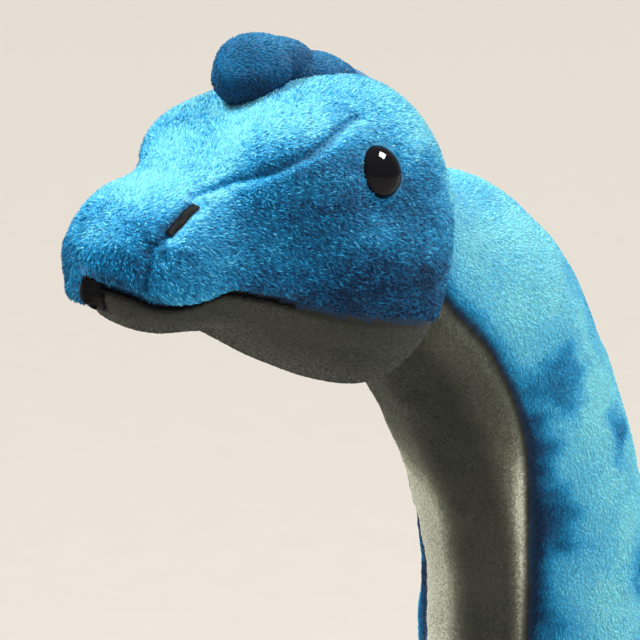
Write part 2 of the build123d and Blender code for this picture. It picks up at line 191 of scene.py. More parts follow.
# ---- curves, distances and noise
def curve(x, knots):
    """A smooth curve through knots, each a place and a value, read at x."""
    place, value = np.array(knots, float).T
    slope = np.gradient(value, place)
    i = np.clip(np.searchsorted(place, x) - 1, 0, len(place) - 2)
    span = place[i + 1] - place[i]
    t = np.clip((x - place[i]) / span, 0, 1)
    return (
        value[i] * (1 + 2 * t) * (1 - t) ** 2
        + value[i + 1] * t * t * (3 - 2 * t)
        + span * slope[i] * t * (1 - t) ** 2
        - span * slope[i + 1] * t * t * (1 - t)
    )


def ease(x, low, high):
    """0 below low, 1 above high, and smooth between."""
    t = np.clip((x - low) / (high - low), 0, 1)
    return t * t * (3 - 2 * t)


def line_distance(points, line):
    """Distance from each point to a line of straight pieces."""
    best = np.full(points.shape[:-1], 1e9)
    for a, b in zip(line[:-1], line[1:]):
        run = b - a
        t = np.clip(((points - a) @ run) / (run @ run), 0, 1)
        best = np.minimum(best, np.linalg.norm(points - (a + t[..., None] * run), axis=-1))
    return best


def settled(line, surface):
    """A line moved onto the nearest points of a surface, finely divided."""
    steps = np.concatenate([[0], np.cumsum(np.linalg.norm(np.diff(line, axis=0), axis=1))])
    places = np.arange(0, steps[-1], 1.2)
    fine = np.stack([np.interp(places, steps, line[:, k]) for k in range(3)], -1)
    flat = surface.reshape(-1, 3)
    found = np.array([flat[((flat - point) ** 2).sum(1).argmin()] for point in fine])
    found[1:-1] = (found[:-2] + 2 * found[1:-1] + found[2:]) / 4
    return found


def ridge(distance, width):
    """1 along a line and falling off smoothly beside it."""
    return np.exp(-0.5 * (distance / width) ** 2)


def bump(points, centre, sizes):
    """A smooth hill round a centre, 1 at its top."""
    offset = (points - np.array(centre)) / np.array(sizes)
    return np.exp(-0.5 * (offset**2).sum(-1))


WAVES = [(rng.normal(size=3), rng.uniform(0, 6.28)) for _ in range(24)]  # directions and phases


def cloud(points, size):
    """Soft noise between about -1 and 1, with features of a given size."""
    total = np.zeros(points.shape[:-1])
    for direction, phase in WAVES:
        total += np.sin(points @ direction * (2.2 / size) + phase)
    return total / 5.0


def whole_turn(count):
    """Even angles round a full circle."""
    return np.linspace(0, 2 * math.pi, count, endpoint=False)


def mirrored(points):
    """The same points with x made positive, for features that both sides have."""
    return np.abs(points * (1, 0, 0)) + points * (0, 1, 1)


def normals_of(grid):
    """Outward unit normals of a grid of points that closes round its second axis."""
    around = np.roll(grid, -1, 1) - np.roll(grid, 1, 1)
    along = np.gradient(grid, axis=0)
    normal = np.cross(along, around)
    normal /= np.linalg.norm(normal, axis=-1, keepdims=True) + 1e-9
    outward = grid - grid.mean(1, keepdims=True)
    if (normal * outward).sum() < 0:
        normal = -normal
    return normal


# ---- forms
def mouth_height(points):
    """Height of the mouth seam. The jaw panel is set askew, so it is lower right of the very front."""
    askew = ease(-points[..., 0], -2.2, 0.8) * bump(points, (0, NOSE_Y, 0), (FAR, 6, FAR))
    return curve(points[..., 1], MOUTH) - MOUTH_ASKEW * askew


def head_grid(rings=200, turns=200):
    """The head's grid, with its brow, muzzle, lips and seams, and the lines of those seams on it."""
    phase = np.linspace(0, 1, rings)
    y = NOSE_Y + (NAPE_Y - NOSE_Y) * (0.5 - 0.5 * np.cos(math.pi * phase)) * 0.998 + 0.05
    front = np.sqrt(np.clip(1 - (np.clip(NOSE_Y + NOSE_ROUND - y, 0, None) / NOSE_ROUND) ** 2, 0, 1))
    back = np.sqrt(np.clip(1 - (np.clip(y - NAPE_Y + NAPE_ROUND, 0, None) / NAPE_ROUND) ** 2, 0, 1))
    taper = front * back
    width = curve(y, HEAD_WIDTH) * taper
    middle = curve(y, HEAD_MIDDLE)
    top = (curve(y, HEAD_TOP) - middle) * taper
    bottom = (middle - curve(y, HEAD_BOTTOM)) * taper**0.75
    angle = whole_turn(turns) - math.pi / 2
    cos, sin = np.cos(angle), np.sin(angle)
    x = width[:, None] * np.sign(cos) * np.abs(cos) ** SQUARENESS
    rise = np.sign(sin) * np.abs(sin) ** SQUARENESS
    z = middle[:, None] + np.where(rise > 0, top[:, None], bottom[:, None]) * rise
    grid = np.stack([x, np.broadcast_to(y[:, None], x.shape), z], -1)

    side = mirrored(grid)
    lift = sum(height * bump(side, centre, sizes) for height, centre, sizes in HEAD_SWELLS)
    below = mouth_height(grid) - grid[..., 2]
    fade = 1 - ease(grid[..., 1], MOUTH_END_Y - 8, MOUTH_END_Y + 24)
    lift -= 1.5 * fade * ease(below, -0.6, 1.2)
    lift += 0.8 * fade * ridge(below + 2.4, 1.8)
    lift += 0.35 * cloud(grid, 16)
    grid = grid + lift[..., None] * normals_of(grid)

    side = mirrored(grid)
    half = side[grid[..., 0] > 0]
    seams = [settled(line, half) for line in (GUSSET_SEAM, *DARTS, NOSTRIL)]
    groove = sum(
        deep * ridge(line_distance(side, line), wide)
        for line, deep, wide in zip(seams, (1.0, 1.2, 1.0, 1.5), (0.8, 0.9, 0.8, 1.2))
    )
    below = mouth_height(grid) - grid[..., 2]
    fade = 1 - ease(grid[..., 1], MOUTH_END_Y, MOUTH_END_Y + 34)
    groove += (0.5 + 0.9 * fade) * ridge(below, 0.9)
    grid = grid - groove[..., None] * normals_of(grid)
    return grid + SKULL, seams


skull, SEAMS = head_grid()
NOSTRIL_LINE = SEAMS[-1]


def head_seams(points):
    """Distance from points to the nearest seam of the head, in the toy's frame."""
    own = points - SKULL
    side = mirrored(own)
    pulls = (1, 1, 1.3, 0.6)
    near = np.min([line_distance(side, line) * pull for line, pull in zip(SEAMS, pulls)], axis=0)
    return np.minimum(near, np.abs(mouth_height(own) - own[..., 2]))


spine_table = np.array(SPINE, float)
steps_along = np.linalg.norm(np.diff(spine_table[:, :2], axis=0), axis=1)
reach = np.concatenate([[0], np.cumsum(steps_along)])  # distance along the spine of each row


def along_spine(s, column):
    """One column of the spine's table at distance s along it."""
    return curve(s, np.stack([reach, spine_table[:, column]], 1))


def strip_angle(s):
    """How far round from the belly side the edge of the pale panel lies."""
    return np.arcsin(np.clip(along_spine(s, 4) / along_spine(s, 2), 0, 0.99))


def strip_lines(s, turns):
    """Angles round the spine for each ring, with lines of the grid along both edges of the pale panel."""
    t = np.linspace(-1, 1, turns, endpoint=False)
    edge = strip_angle(s)[:, None]
    on_strip = np.abs(t) / STRIP_SHARE * edge
    beyond = edge + (np.abs(t) - STRIP_SHARE) / (1 - STRIP_SHARE) * (math.pi - edge)
    return np.sign(t) * np.where(np.abs(t) < STRIP_SHARE, on_strip, beyond)


def spine_grid(start, end, rings, turns=160):
    """The grid of a stretch of the neck, torso and tail between two distances along the spine."""
    s = np.linspace(start, end, rings)
    y, z, half_width, half_depth = (along_spine(s, column) for column in range(4))
    step = 0.5
    run = np.stack([along_spine(s + step, c) - along_spine(s - step, c) for c in (0, 1)], -1)
    run /= np.linalg.norm(run, axis=-1, keepdims=True)
    down = np.stack([run[:, 1], -run[:, 0]], -1)
    angle = strip_lines(s, turns)
    tip = np.sqrt(np.clip(1 - (np.clip(s - reach[-1] + 5, 0, None) / 5.02) ** 2, 0, 1))
    root = np.sqrt(np.clip(1 - (np.clip(9 - s, 0, None) / 9.02) ** 2, 0, 1))
    size = (tip * root)[:, None]
    out = half_depth[:, None] * size * np.cos(angle)
    x = half_width[:, None] * size * np.sin(angle)
    grid = np.stack([x, y[:, None] + out * down[:, :1], z[:, None] + out * down[:, 1:]], -1)

    beside = half_width[:, None] * np.abs(np.abs(angle) - strip_angle(s)[:, None])
    groove = 1.0 * ridge(beside, 1.2)
    back_seam = np.where(np.cos(angle) < 0, np.abs(x), FAR)
    groove += 0.8 * ridge(back_seam, 1.3)
    fullness = 0.6 + 1.3 * ease(along_spine(s, 2), 26, 50)[:, None]
    lift = fullness * 0.5 * cloud(grid, 26) + 0.3 * cloud(grid, 9)
    pucker = ridge(np.minimum(beside, back_seam), 5)
    pucker *= 0.10 + 0.22 * ease(along_spine(s, 2), 30, 50)[:, None]
    lift += pucker * np.sin(s * 1.15 + 2 * np.sin(s * 0.21))[:, None]
    return grid + (lift - groove)[..., None] * normals_of(grid)


def spine_place(points):
    """For points near the spine: distance along it, and the signed distance on the belly side."""
    samples = np.linspace(0, reach[-1], 500)
    y, z = along_spine(samples, 0), along_spine(samples, 1)
    s = np.empty(len(points))
    many = 4000  # points at a time, to save memory
    for first in range(0, len(points), many):
        part = points[first : first + many]
        gap = (part[:, 1, None] - y) ** 2 + (part[:, 2, None] - z) ** 2
        s[first : first + many] = samples[gap.argmin(1)]
    for _ in range(2):
        run_y = along_spine(s + 0.5, 0) - along_spine(s - 0.5, 0)
        run_z = along_spine(s + 0.5, 1) - along_spine(s - 0.5, 1)
        ahead = (points[:, 1] - along_spine(s, 0)) * run_y + (points[:, 2] - along_spine(s, 1)) * run_z
        s = np.clip(s + 0.7 * np.clip(ahead, -1, 1), 0, reach[-1])
    belly = (points[:, 1] - along_spine(s, 0)) * run_z - (points[:, 2] - along_spine(s, 1)) * run_y
    return s, belly


def leg_grid(place, turns=84):
    """One leg, standing at the place of its hip joint."""
    knots = np.array(LEG_TABLE, float)
    z = np.concatenate([
        np.linspace(0.4, 6, 10)[:-1], np.linspace(6, 108, 62)[:-1], np.linspace(108, 121.9, 14),
    ])
    half_width = curve(z, knots[:, (0, 1)])
    half_length = curve(z, knots[:, (0, 2)])
    angle = whole_turn(turns)
    x = place[0] + half_width[:, None] * np.cos(angle)
    y = place[1] + half_length[:, None] * np.sin(angle)
    grid = np.stack([x, y, np.broadcast_to(z[:, None], x.shape)], -1)
    above = ease(grid[..., 2], 2, 10)
    lift = above * (0.7 * cloud(grid + place, 22) + 0.3 * cloud(grid, 8))
    lift -= 1.1 * ridge(grid[..., 2] - FOOT_SEAM_Z, 1.0)
    seam = np.abs(grid[..., 0] - place[0])
    lift -= 0.8 * above * ridge(seam, 1.1)
    lift += 0.4 * above * ridge(seam, 4.5) * np.sin(grid[..., 2] * 1.2)
    return grid + lift[..., None] * normals_of(grid)


def lobe_grid(centre, sizes, tilt, rings=46, turns=60):
    """One lobe of the crest, in the toy's frame."""
    polar = np.linspace(0.03, math.pi - 0.03, rings)
    angle = whole_turn(turns)
    x = np.sin(polar)[:, None] * np.cos(angle) * sizes[0]
    z = np.sin(polar)[:, None] * np.sin(angle) * sizes[2]
    y = -np.cos(polar)[:, None] * sizes[1] * np.ones_like(angle)
    turn = math.radians(tilt)
    turned_y = y * math.cos(turn) - z * math.sin(turn)
    turned_z = y * math.sin(turn) + z * math.cos(turn)
    grid = np.stack([x, turned_y, turned_z], -1) + np.array(centre)
    grid = grid + (0.5 * cloud(grid, 7))[..., None] * normals_of(grid)
    return grid + SKULL


# ---- materials
def principled(name, color, roughness, **sockets):
    """A new material with its shader's own values set."""
    material = bpy.data.materials.new(name)
    material.use_nodes = True
    shader = material.node_tree.nodes["Principled BSDF"]
    shader.inputs["Base Color"].default_value = (*color, 1)
    shader.inputs["Roughness"].default_value = roughness
    for socket, value in sockets.items():
        shader.inputs[socket.replace("_", " ")].default_value = value
    return material


def shader_nodes(material, *kinds):
    """A material's shader, and new nodes of some kinds."""
    nodes = material.node_tree.nodes
    return [nodes["Principled BSDF"], *(nodes.new(f"ShaderNode{kind}") for kind in kinds)]


def finish_noise(links, shader, place, noise, ramp, height):
    """Links what every noise material has in common."""
    links.new(place, noise.inputs["Vector"])
    links.new(ramp.outputs["Color"], shader.inputs["Base Color"])
    links.new(noise.outputs["Fac"], height.inputs["Height"])
    links.new(height.outputs["Normal"], shader.inputs["Normal"])


def add_noise(material, dark, light, scale, relief, detail=6.0, stretch=(1, 1, 1)):
    """Mottled colour and a fine bump from noise, measured in metres on the object."""
    shader, place, spread, noise, ramp, height = shader_nodes(
        material, "TexCoord", "Mapping", "TexNoise", "ValToRGB", "Bump"
    )
    spread.inputs["Scale"].default_value = stretch
    noise.inputs["Scale"].default_value = scale
    noise.inputs["Detail"].default_value = detail
    for stop, position, color in zip(ramp.color_ramp.elements, (0.35, 0.68), (dark, light)):
        stop.position = position
        stop.color = (*color, 1)
    height.inputs["Strength"].default_value = 0.7
    height.inputs["Distance"].default_value = relief
    links = material.node_tree.links
    links.new(place.outputs["Object"], spread.inputs["Vector"])
    links.new(noise.outputs["Fac"], ramp.inputs["Fac"])
    finish_noise(links, shader, spread.outputs["Vector"], noise, ramp, height)
    return material


def fibre(name, color):
    """Pile fibre: matt, with the soft glow that short fibre has along its edges."""
    tint = tuple(0.25 + 0.75 * c for c in color)
    return principled(
        name, color, 0.7,
        Sheen_Weight=0.15, Sheen_Roughness=0.4, Sheen_Tint=(*tint, 1), Specular_IOR_Level=0.15,
    )


def family(name, colors):
    """Pile fibre in several shades, from darkest to lightest."""
    return [fibre(f"{name}_{i}", color) for i, color in enumerate(colors)]


BLUE_SHADES = (
    (0.001, 0.030, 0.090), (0.002, 0.070, 0.190), (0.004, 0.140, 0.330), (0.008, 0.240, 0.500),
    (0.022, 0.370, 0.710), (0.070, 0.530, 0.880), (0.160, 0.700, 0.970), (0.280, 0.870, 1.0),
)
GREY_SHADES = (
    (0.020, 0.024, 0.018), (0.032, 0.037, 0.028), (0.050, 0.056, 0.042), (0.080, 0.087, 0.066),
    (0.130, 0.140, 0.105), (0.225, 0.240, 0.180), (0.460, 0.485, 0.385), (0.800, 0.830, 0.690),
)
NAVY_SHADES = (
    (0.001, 0.024, 0.070), (0.002, 0.060, 0.155), (0.003, 0.110, 0.265),
    (0.006, 0.180, 0.390), (0.020, 0.280, 0.540),
)


def backing(name, shades, depth=0.72):
    """Cloth under a pile: the shades of the pile, darkened by depth as painted shade between the tufts,
    picked by the skin's own tone.
    """
    material = principled(name, shades[len(shades) // 2], 0.95, Sheen_Weight=0.15)
    shader, tone, place, noise, spread, total, ramp, height = shader_nodes(
        material, "Attribute", "TexCoord", "TexNoise", "Math", "Math", "ValToRGB", "Bump"
    )
    tone.attribute_name = "tone"
    noise.inputs["Scale"].default_value = 900
    noise.inputs["Detail"].default_value = 5
    spread.operation = "MULTIPLY_ADD"
    spread.inputs[1].default_value = 0.5
    spread.inputs[2].default_value = -0.27
    total.operation = "ADD"
    stops = ramp.color_ramp.elements
    while len(stops) < len(shades):
        stops.new(0.5)
    for k, color in enumerate(shades):
        stops[k].position = (k + 0.5) / len(shades)
        # Painted shade: the cloth under the pile is darker than the pile.
        stops[k].color = (*(depth * c for c in color), 1)
    height.inputs["Strength"].default_value = 0.6
    height.inputs["Distance"].default_value = 0.0004
    links = material.node_tree.links
    links.new(noise.outputs["Fac"], spread.inputs[0])
    links.new(tone.outputs["Fac"], total.inputs[0])
    links.new(spread.outputs["Value"], total.inputs[1])
    links.new(total.outputs["Value"], ramp.inputs["Fac"])
    finish_noise(links, shader, place.outputs["Object"], noise, ramp, height)
    return material


BLUES, blue_cloth = family("blue_pile", BLUE_SHADES), backing("blue_backing", BLUE_SHADES)
GREYS, grey_cloth = family("grey_pile", GREY_SHADES), backing("grey_backing", GREY_SHADES)
NAVIES, navy_cloth = family("navy_pile", NAVY_SHADES), backing("navy_backing", NAVY_SHADES)
# Black thread, also laid on the skin along the mouth as painted shadow.
thread_and_shadow_black = add_noise(
    principled("black_thread", (0.004, 0.004, 0.005), 0.6, Specular_IOR_Level=0.15),
    (0.002, 0.002, 0.003), (0.007, 0.007, 0.008), 2600, 0.0001,
)
thread_blue = add_noise(
    principled("blue_thread", (0.02, 0.2, 0.4), 0.6, Sheen_Weight=0.25),
    (0.01, 0.14, 0.33), (0.03, 0.26, 0.50), 2600, 0.0001,
)
label_cloth = add_noise(
    principled("label_ribbon", (0.8, 0.8, 0.77), 0.45, Sheen_Weight=0.3),
    (0.70, 0.70, 0.66), (0.84, 0.84, 0.80), 900, 0.0001, stretch=(1, 1, 8),
)
washer_plastic = add_noise(
    principled("washer_plastic", (0.75, 0.75, 0.72), 0.5),
    (0.66, 0.66, 0.63), (0.80, 0.80, 0.77), 300, 0.00005,
)
pouch_cloth = add_noise(
    principled("pouch_cloth", (0.8, 0.78, 0.72), 0.9),
    (0.60, 0.58, 0.52), (0.82, 0.80, 0.74), 260, 0.0012, detail=1.0,
)
eye_gloss = add_noise(
    principled("eye_gloss", (0.004, 0.004, 0.005), 0.06, Specular_IOR_Level=0.2, IOR=1.45),
    (0.003, 0.003, 0.004), (0.006, 0.006, 0.008), 90, 0.000004,
)


# ---- meshes
def add_to_scene(piece):
    """Puts a new object into the scene."""
    bpy.context.scene.collection.objects.link(piece)
    return piece


def new_mesh(name, points, corners, starts, materials, indices):
    """An object from points in millimetres, the corners of all faces in a row, and where each face starts."""
    mesh = bpy.data.meshes.new(name)
    mesh.vertices.add(len(points))
    mesh.vertices.foreach_set("co", (points * MM).astype(np.float32).ravel())
    mesh.loops.add(len(corners))
    mesh.loops.foreach_set("vertex_index", corners.astype(np.int32))
    mesh.polygons.add(len(starts))
    mesh.polygons.foreach_set("loop_start", starts.astype(np.int32))
    for material in materials:
        mesh.materials.append(material)
    mesh.polygons.foreach_set("material_index", indices.astype(np.int32))
    mesh.update(calc_edges=True)
    mesh.polygons.foreach_set("use_smooth", np.full(len(starts), True))
    mesh.validate()
    return add_to_scene(bpy.data.objects.new(name, mesh))


def grid_faces(rings, turns):
    """Corner indices of the faces of a grid that closes round."""
    i, j = np.meshgrid(np.arange(rings - 1), np.arange(turns), indexing="ij")
    nxt = (j + 1) % turns
    quads = np.stack([i * turns + j, i * turns + nxt, (i + 1) * turns + nxt, (i + 1) * turns + j], -1)
    return quads.reshape(-1, 4)


def skin(name, grids, materials, pick, caps=(True, True)):
    """A closed skin over one or more grids. pick gives each face's material from its middle."""
    points, faces, cap_faces, first = [], [], [], 0
    for grid in grids:
        rings, turns = grid.shape[:2]
        flat = grid.reshape(-1, 3)
        quads = grid_faces(rings, turns)
        a, b, c, d = (flat[quads[:, k]] for k in range(4))
        outward = (a + b + c + d) / 4 - np.repeat(grid.mean(1), turns, 0)[: len(quads)]
        if (np.cross(c - a, d - b) * outward).sum() < 0:
            quads = quads[:, ::-1]
        points.append(flat)
        faces.append(quads + first)
        ends = np.arange(turns) + first
        if caps[0]:
            cap_faces.append(ends)
        if caps[1]:
            cap_faces.append((ends + (rings - 1) * turns)[::-1])
        first += len(flat)
    points, faces = np.concatenate(points), np.concatenate(faces)
    indices = pick(points[faces].mean(1))
    corners, starts, kinds = [faces.ravel()], [np.arange(len(faces)) * 4], [indices]
    used = faces.size
    for ring in cap_faces:
        corners.append(ring)
        starts.append(np.array([used]))
        kinds.append(pick(points[ring].mean(0, keepdims=True)))
        used += len(ring)
    corners, starts, kinds = np.concatenate(corners), np.concatenate(starts), np.concatenate(kinds)
    return new_mesh(name, points, corners, starts, materials, kinds)


def scatter(grid, spacing):
    """Even, jittered points over a grid: their places and normals."""
    spacing = spacing * 1.0
    normal = normals_of(grid)
    nxt = np.roll(grid, -1, 1)
    a, b, c, d = grid[:-1], nxt[:-1], nxt[1:], grid[1:]
    area = 0.5 * np.linalg.norm(np.cross(c - a, d - b), axis=-1)
    count = np.floor(area / spacing**2 + rng.random(area.shape)).astype(int).ravel()
    cell = np.repeat(np.arange(count.size), count)
    s, t = rng.random((2, len(cell), 1))

    def blended(values):
        """Values of the grid read at each scattered point, between the four corners of its cell."""
        corners = [values[:-1], np.roll(values, -1, 1)[:-1], np.roll(values, -1, 1)[1:], values[1:]]
        a, b, c, d = (v.reshape(-1, 3)[cell] for v in corners)
        return (a * (1 - s) + b * s) * (1 - t) + (d * (1 - s) + c * s) * t

    normals = blended(normal)
    return blended(grid), normals / (np.linalg.norm(normals, axis=1, keepdims=True) + 1e-9)


def unit(vectors):
    """Vectors scaled to length 1."""
    return vectors / (np.linalg.norm(vectors, axis=-1, keepdims=True) + 1e-9)


def tree_of(piece):
    """A search tree over a piece's faces."""
    mesh = piece.data
    return BVHTree.FromPolygons([v.co for v in mesh.vertices], [p.vertices for p in mesh.polygons])


def outside(points, solids, depth=0.6):
    """Which points are not buried in any of these closed skins."""
    clear = np.ones(len(points), bool)
    for solid in solids:
        tree = tree_of(solid)
        low, high = np.array(solid.bound_box).min(0) / MM, np.array(solid.bound_box).max(0) / MM
        near = np.where(((points > low) & (points < high)).all(1))[0]
        for k in near:
            place, normal, _, _ = tree.find_nearest(metres(points[k]))
            if (metres(points[k]) - place).dot(normal) < -depth * MM:
                clear[k] = False
    return clear


def tufts(name, places, normals, nap, length, width, shade, materials):
    """Bent tufts of pile on a surface. nap is the way they lie; shade, 0 to 1, picks the material.

    Each tuft is a three-sided spike: three points at its base, three at its bend and one at its tip.
    """
    count = len(places)
    wander = rng.normal(size=(count, 3))
    clump = np.stack([cloud(places + shift, 2.3) for shift in (0, 31, 77)], -1)
    lie = nap + 0.30 * wander + 0.34 * clump
    lie = unit(lie - (lie * normals).sum(1, keepdims=True) * normals)
    across = np.cross(normals, lie)
    length = (length * rng.uniform(0.72, 1.25, count))[:, None]
    width = (width * rng.uniform(0.8, 1.25, count))[:, None]
    base = places - 0.25 * normals
    middle = base + length * (0.44 * normals + 0.26 * lie)
    tip = base + length * (0.64 * normals + 0.86 * lie)
    angles = rng.uniform(0, 2.1, count)[:, None]
    rings = []
    for centre, radius in ((base, width), (middle, width * 0.86)):
        for k in range(3):
            turn = angles + k * 2.0944
            side = np.cos(turn) * across + np.sin(turn) * (0.75 * lie - 0.35 * normals)
            rings.append(centre + radius * side)
    points = np.stack([*rings, tip], 1).reshape(-1, 3)
    quads = [(k, (k + 1) % 3, 3 + (k + 1) % 3, 3 + k) for k in range(3)]
    tips = [(3 + k, 3 + (k + 1) % 3, 6) for k in range(3)]
    one = np.array([corner for face in quads + tips for corner in face])
    one_starts = np.array([0, 4, 8, 12, 15, 18])
    corners = (np.arange(count)[:, None] * 7 + one).ravel()
    starts = (np.arange(count)[:, None] * len(one) + one_starts).ravel()
    pick = np.clip((shade * len(materials)).astype(int), 0, len(materials) - 1)
    return new_mesh(name, points, corners, starts, materials, np.repeat(pick, len(one_starts)))


# ---- where the colours go
def strip_offset(points):
    """Distance from the edge of the pale panel, measured round the body; negative on the panel."""
    s, belly = spine_place(points)
    turn = np.arctan2(np.abs(points[:, 0]) / along_spine(s, 2), belly / along_spine(s, 3))
    return (turn - strip_angle(s)) * along_spine(s, 2)


def is_jaw(points):
    """Whether points of the head lie below the mouth seam."""
    own = points - SKULL
    return own[..., 2] < mouth_height(own)


def is_strip(points):
    """Whether points of neck, torso or tail lie on the pale panel."""
    return strip_offset(points) < 0


def head_shade(points, normals):
    """How light the blue pile of the head is, with painted light: lighter where it faces up, plus the head's
    tints.
    """
    own = mirrored(points - SKULL)
    # Painted light: the pile is lighter where it faces up.
    value = 0.46 + 0.38 * ease(normals[:, 2], 0.05, 0.85)
    for amount, centre, sizes in HEAD_TINTS_AND_PAINTED_LIGHT:
        value += amount * bump(own, centre, sizes)
    return value + 0.08 * cloud(points, 11) + 0.05 * cloud(points, 4)


def body_shade(points, normals):
    """How light the blue pile of neck, torso and tail is: airbrushed blotches on light blue, and painted
    shade beside the pale panel.
    """
    s, _ = spine_place(points)
    blotch = ease(cloud(points * (1.0, 1.0, 0.7), 15), 0.35, 1.0) * ease(-points[:, 2], -240, -225)
    side = mirrored(points) + 2.6 * np.stack([cloud(points + shift, 8) for shift in (0, 20, 40)], -1)
    for centre, sizes in BLOTCHES:
        blotch = np.maximum(blotch, ease(bump(side, centre, sizes) + 0.10 * cloud(points, 3), 0.05, 1.05))
    beside = strip_offset(points)
    # Painted shade: the blue is darker beside the seam of the pale panel.
    edge = ridge(beside, 3.0)
    edge += ease(s, 50, 110) * 0.55 * ridge(beside, 9.0)
    value = 0.88 - 0.42 * blotch - 0.42 * edge
    return value + 0.045 * cloud(points * (1, 1, 0.5), 8)


# ---- skins
def constant(index):
    """Gives every face the same material."""
    return lambda middles: np.full(len(middles), index)


def spine_at(y_place, low, high):
    """Distance along the spine, between two limits, at which it passes a place along y."""
    samples = np.linspace(low, high, 400)
    return samples[np.abs(along_spine(samples, 0) - y_place).argmin()]


NECK_SPLIT = reach[6]
BODY_SPLIT = spine_at(0.0, reach[9], reach[11])

upper_neck = spine_grid(0.0, NECK_SPLIT, 160)
chest = spine_grid(NECK_SPLIT, BODY_SPLIT, 130)
rump = spine_grid(BODY_SPLIT, reach[-1], 210)
legs = {name: leg_grid(joint_place(f"{name}_swing")) for name in LEGS}
lobes = [lobe_grid(*lobe) for lobe in CREST_LOBES]


def at_mouth(own, more, patch_radius):
    """Whether points of the head's frame lie under the mouth line or its heavy patch at the front."""
    front_y = MOUTH_FRONT[0, 1]
    facing = own * (1, 0, 1) + (0, front_y, 0)
    patch = (line_distance(facing, MOUTH_FRONT) < patch_radius) & (own[..., 1] < front_y + 7)
    return patch | (np.abs(mouth_height(own) - own[..., 2]) < curve(own[..., 1], MOUTH_HALF) + more)


def head_cloth(middles):
    """Blue above the mouth, grey below it, and black under its stitches and front patch as painted shadow in
    the gap between snout and jaw.
    """
    return np.where(at_mouth(middles - SKULL, 0, 1.5), 2, is_jaw(middles).astype(int))


def strip_cloth(middles):
    """Blue, and grey on the pale panel."""
    return is_strip(middles).astype(int)


def sole_cloth(middles):
    """Blue, and grey on the sole."""
    return (middles[:, 2] < FOOT_SEAM_Z).astype(int)


head_skin = skin("head_skin", [skull], [blue_cloth, grey_cloth, thread_and_shadow_black], head_cloth)
neck_skin = skin("neck_skin", [upper_neck], [blue_cloth, grey_cloth], strip_cloth, caps=(True, False))
chest_skin = skin("chest_skin", [chest], [blue_cloth, grey_cloth], strip_cloth, caps=(False, False))
rump_skin = skin("rump_skin", [rump], [blue_cloth, grey_cloth], strip_cloth, caps=(False, True))
crest_skin = skin("crest_skin", lobes, [navy_cloth], constant(0))
leg_skins = {
    name: skin(f"{name}_skin", [grid], [blue_cloth, grey_cloth], sole_cloth) for name, grid in legs.items()
}


# ---- pile
def set_tone(piece, shade):
    """Stores the pile's tone on the skin below it, so gaps between tufts show no other colour."""
    mesh = piece.data
    points, normals = np.empty(len(mesh.vertices) * 3), np.empty(len(mesh.vertices) * 3)
    mesh.vertices.foreach_get("co", points)
    mesh.vertices.foreach_get("normal", normals)
    tone = np.clip(shade(points.reshape(-1, 3) / MM, normals.reshape(-1, 3)), 0, 1)
    mesh.attributes.new("tone", "FLOAT", "POINT").data.foreach_set("value", tone.astype(np.float32))


def leg_nap(points):
    """Nap that runs down the leg and a little back."""
    return np.broadcast_to(np.array((0, 0.25, -1), float), points.shape)


def spine_nap(points):
    """Nap that runs down the neck and back along the body to the tail."""
    s, _ = spine_place(points)
    run = [along_spine(s + 1, column) - along_spine(s - 1, column) for column in (0, 1)]
    return unit(np.stack([0 * s, *run], -1)) + (0, 0, -0.25)


def parted(distance, width):
    """How long pile is beside a seam, as a share of its length."""
    return 0.22 + 0.78 * ease(distance, 0.2, width)


def grow(name, grid, kind, wanted, nap, shade, materials, solids, seam=None, seam_width=1.8):
    """Pile of one kind over the wanted part of a grid, as a list of pieces."""
    spacing, length, width, unevenness = PILE[kind]
    places, normals = scatter(grid, spacing)
    keep = wanted(places)
    places, normals = places[keep], normals[keep]
    keep = outside(places, solids)
    places, normals = places[keep], normals[keep]
    share = parted(seam(places), seam_width) if seam else np.ones(len(places))
    tone = shade(places, normals) - 0.42 * (1 - share) + unevenness * rng.normal(size=len(places))
    order = np.argsort(places[:, 1], kind="stable")
    pieces = []
    for part in np.array_split(order, math.ceil(len(order) / MOST_TUFTS)):
        label = name if len(order) <= MOST_TUFTS else f"{name}_{len(pieces) + 1}"
        where = places[part]
        shades = np.clip(tone[part], 0, 0.999)
        lengths = (length * share)[part]
        pieces.append(tufts(label, where, normals[part], nap(where), lengths, width, shades, materials))
    return pieces


def clear_places(points):
    """Which points of the head are clear of eyes and embroidery."""
    own = points - SKULL
    at_eye = np.linalg.norm((mirrored(own) - EYE) / (1, 0.92, 1.04), axis=-1) <= 6.3
    at_nostril = line_distance(mirrored(own), NOSTRIL_LINE) < 0.55
    return ~at_eye & ~at_mouth(own, 0.1, 1.9) & ~at_nostril


def head_nap(points):
    """Nap that runs back over the head, and down at the front of the snout."""
    own = points - SKULL
    side = np.sign(own[..., 0])
    nap = np.stack([0.10 * side, np.full(len(points), 1.0), np.full(len(points), -0.35)], -1)
    nap[:, 2] -= 0.9 * (1 - ease(own[..., 1], -58, -50))
    return nap


def jaw_shade(points, normals):
    """How light the grey pile of the lower jaw is, with painted shade: darker where it faces down."""
    # Painted shade: the jaw's pile is darker underneath.
    return 0.29 + 0.20 * ease(normals[:, 2], -0.7, 0.3) + 0.05 * cloud(points, 9)


def strip_shade(points, normals):
    """How light the pale panel is: painted shade at the throat under the head and a painted shadow down its
    middle, lighter along its rim.
    """
    s, _ = spine_place(points)
    rim = ridge(strip_offset(points) + 2.2, 1.3)
    # Painted shade: darker at the throat under the head, and a painted shadow down the middle of the panel.
    painted_throat_shade = 1 - ease(s, 45, 95)
    shadow = ease(points[:, 0], -6, 5) * (1 - ease(points[:, 0], 13, 20))
    value = 0.95 - 0.56 * shadow - 0.52 * painted_throat_shade * (1 - 0.5 * shadow)
    return value + 0.16 * rim * (1 - 0.6 * painted_throat_shade) + 0.04 * cloud(points, 18)


